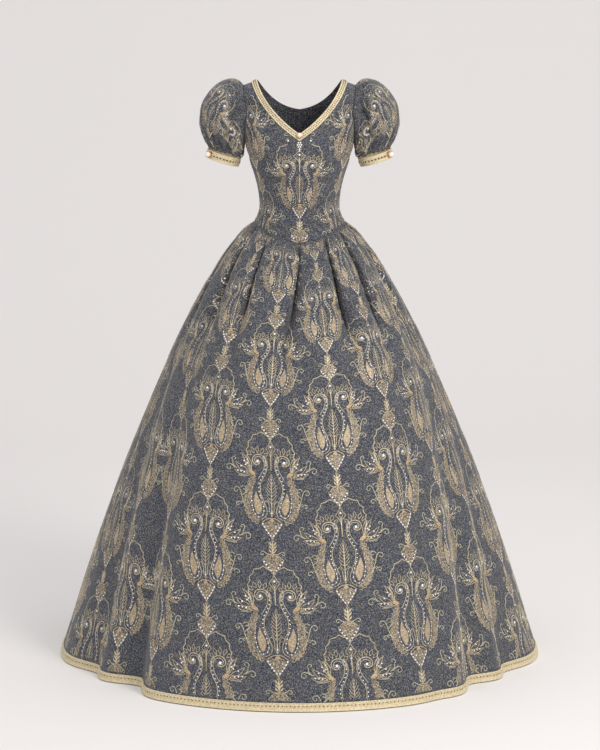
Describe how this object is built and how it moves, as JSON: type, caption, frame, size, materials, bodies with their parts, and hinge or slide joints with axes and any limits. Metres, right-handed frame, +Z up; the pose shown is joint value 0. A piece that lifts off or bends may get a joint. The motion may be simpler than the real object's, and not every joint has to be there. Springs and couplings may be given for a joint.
{
  "type": "ball gown",
  "caption": "Floor-length ball gown with a fitted V-neck bodice, short puff sleeves in bands, a full pleated skirt and braid trim, shaped as worn.",
  "frame": {"origin": "midway between the two shoulder seams, level with the gown's shoulder line, where the wearer's shoulders carry it", "axes": "+Z up, -Y to the front of the gown, +X to the wearer's left"},
  "size_m": [1.2831, 1.2831, 1.539],
  "materials": {
    "jacquard": "heavy woven wool and metallic jacquard, matt",
    "gold_braid": "metallic woven braid, soft sheen",
    "pearl": "pearl, smooth",
    "gilt": "gilt, polished",
    "gold_thread": "couched metallic thread",
    "crystal": "faceted glass crystal"
  },
  "bodies": {
    "root": {"bodice_front": "jacquard", "bodice_back_left": "jacquard", "bodice_back_right": "jacquard", "sleeve_left": "jacquard", "sleeve_right": "jacquard", "skirt_front": "jacquard", "skirt_side_left": "jacquard", "skirt_side_right": "jacquard", "skirt_back_left": "jacquard", "skirt_back_right": "jacquard", "neck_braid_front": "gold_braid", "neck_braid_back_left": "gold_braid", "neck_braid_back_right": "gold_braid", "sleeve_band_left": "gold_braid", "sleeve_band_right": "gold_braid", "hem_braid_front": "gold_braid", "hem_braid_side_left": "gold_braid", "hem_braid_side_right": "gold_braid", "hem_braid_back_left": "gold_braid", "hem_braid_back_right": "gold_braid", "pearl_neck": "pearl", "pearl_sleeve_left": "pearl", "pearl_sleeve_right": "pearl", "pearl_neck_cup": "gilt", "pearl_sleeve_left_cup": "gilt", "pearl_sleeve_right_cup": "gilt"}
  },
  "joints": []
}
